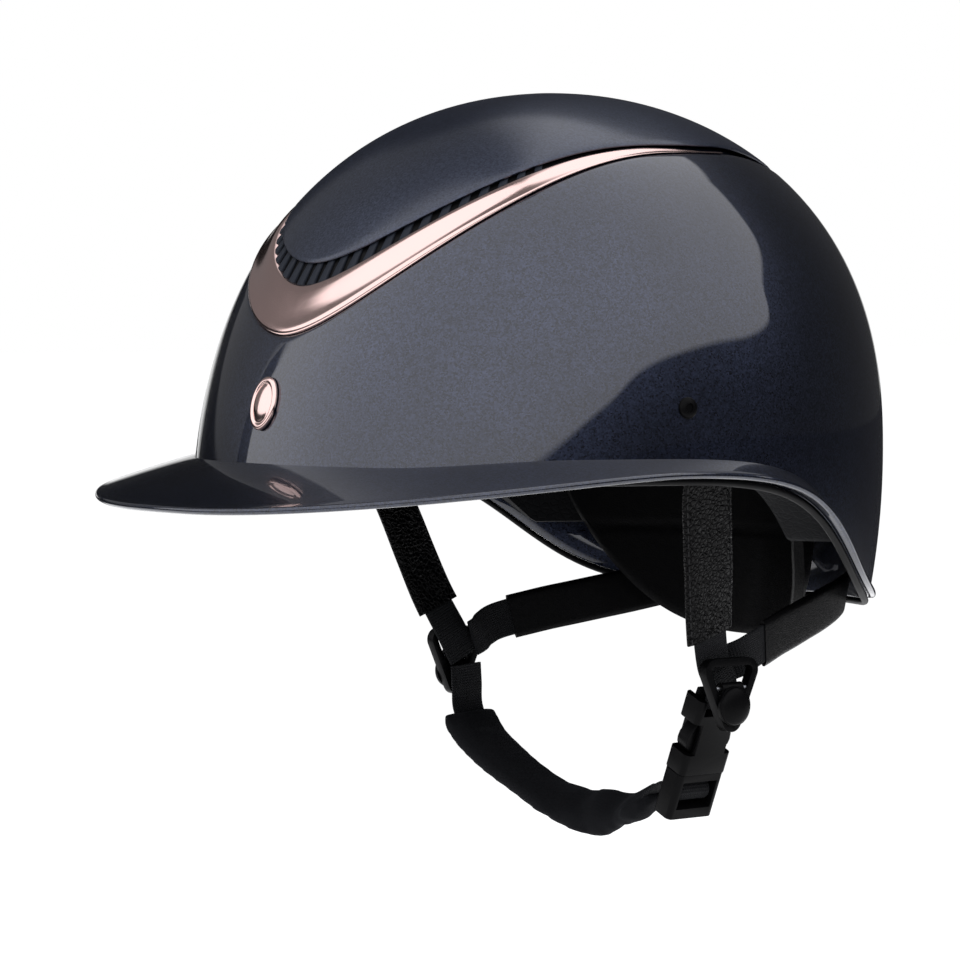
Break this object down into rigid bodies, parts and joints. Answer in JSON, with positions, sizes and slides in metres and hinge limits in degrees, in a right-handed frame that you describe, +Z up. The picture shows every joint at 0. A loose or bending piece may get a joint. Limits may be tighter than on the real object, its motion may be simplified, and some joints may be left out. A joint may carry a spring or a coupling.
{
  "type": "equestrian riding helmet",
  "caption": "Riding helmet: glossy dome with wide brim, inlaid crown panel and metal vent trim, padded liner, and a webbing harness with strap dividers, chin pad and side-release buckle.",
  "frame": {"origin": "head mount: middle of the head opening, level with the seam between dome and brim", "axes": "+Z up through the crown, -Y forward along the brim, +X to the wearer's left (buckle side)"},
  "size_m": [0.2458, 0.3177, 0.2827],
  "materials": {
    "shell_gloss": "clear-coated metallic, high gloss",
    "panel_satin": "satin metallic lacquer",
    "trim_metal": "polished rose-toned chrome plating",
    "vent_plastic": "moulded, satin",
    "foam": "moulded bead foam, matt",
    "lining": "knitted lining",
    "leather": "pebbled",
    "nape_leather": "smooth",
    "piping_rubber": "satin",
    "webbing": "ribbed woven webbing",
    "chin_fabric": "knitted mesh over foam",
    "hardware_plastic": "fine-textured moulding",
    "steel": "plated"
  },
  "bodies": {
    "helmet": {"outer_shell": "shell_gloss", "brim": "shell_gloss", "crown_panel": "panel_satin", "trim": "trim_metal", "vent_grille": "vent_plastic", "front_badge": "trim_metal", "edge_piping": "piping_rubber", "impact_liner": "foam", "headband": "lining", "crown_liner": "lining", "nape_pad": "nape_leather", "side_screws": "hardware_plastic", "front_anchors": "steel", "rear_anchors": "hardware_plastic", "front_strap_left": "webbing", "front_strap_right": "webbing", "front_sleeve_left": "leather", "front_sleeve_right": "leather", "rear_strap_left": "webbing", "rear_strap_right": "webbing", "rear_sleeve_left": "leather", "rear_sleeve_right": "leather", "divider_frame_left": "hardware_plastic", "divider_frame_right": "hardware_plastic", "divider_pin_left": "steel", "divider_pin_right": "steel", "buckle_socket": "hardware_plastic"},
    "plug": {"buckle_plug": "hardware_plastic", "chin_strap": "webbing", "chin_pad": "chin_fabric"},
    "front_prong": {"prong_front": "hardware_plastic"},
    "rear_prong": {"prong_rear": "hardware_plastic"},
    "cam_left": {"divider_cam_left": "hardware_plastic"},
    "cam_right": {"divider_cam_right": "hardware_plastic"}
  },
  "joints": [
    {"name": "buckle_release", "type": "slide", "parent": "helmet", "child": "plug", "axis": [-0.3907, 0, -0.9205], "range_m": [0, 0.03], "deforming": ["chin_strap", "chin_pad", "prong_front", "prong_rear"]},
    {"name": "front_prong_press", "type": "hinge", "parent": "plug", "child": "front_prong", "pos_m": [0.06256, 0.0204, -0.11517], "axis": [-0.9205, 0, 0.3907], "range_deg": [0, 12], "stiffness_Nm_per_rad": 0.08},
    {"name": "rear_prong_press", "type": "hinge", "parent": "plug", "child": "rear_prong", "pos_m": [0.06256, 0.0296, -0.11517], "axis": [0.9205, 0, -0.3907], "range_deg": [0, 12], "stiffness_Nm_per_rad": 0.08},
    {"name": "left_cam_open", "type": "hinge", "parent": "helmet", "child": "cam_left", "pos_m": [0.0856, 0.0215, -0.085], "axis": [0, -1, 0], "range_deg": [0, 75]},
    {"name": "right_cam_open", "type": "hinge", "parent": "helmet", "child": "cam_right", "pos_m": [-0.0856, 0.0215, -0.085], "axis": [0, 1, 0], "range_deg": [0, 75]}
  ]
}
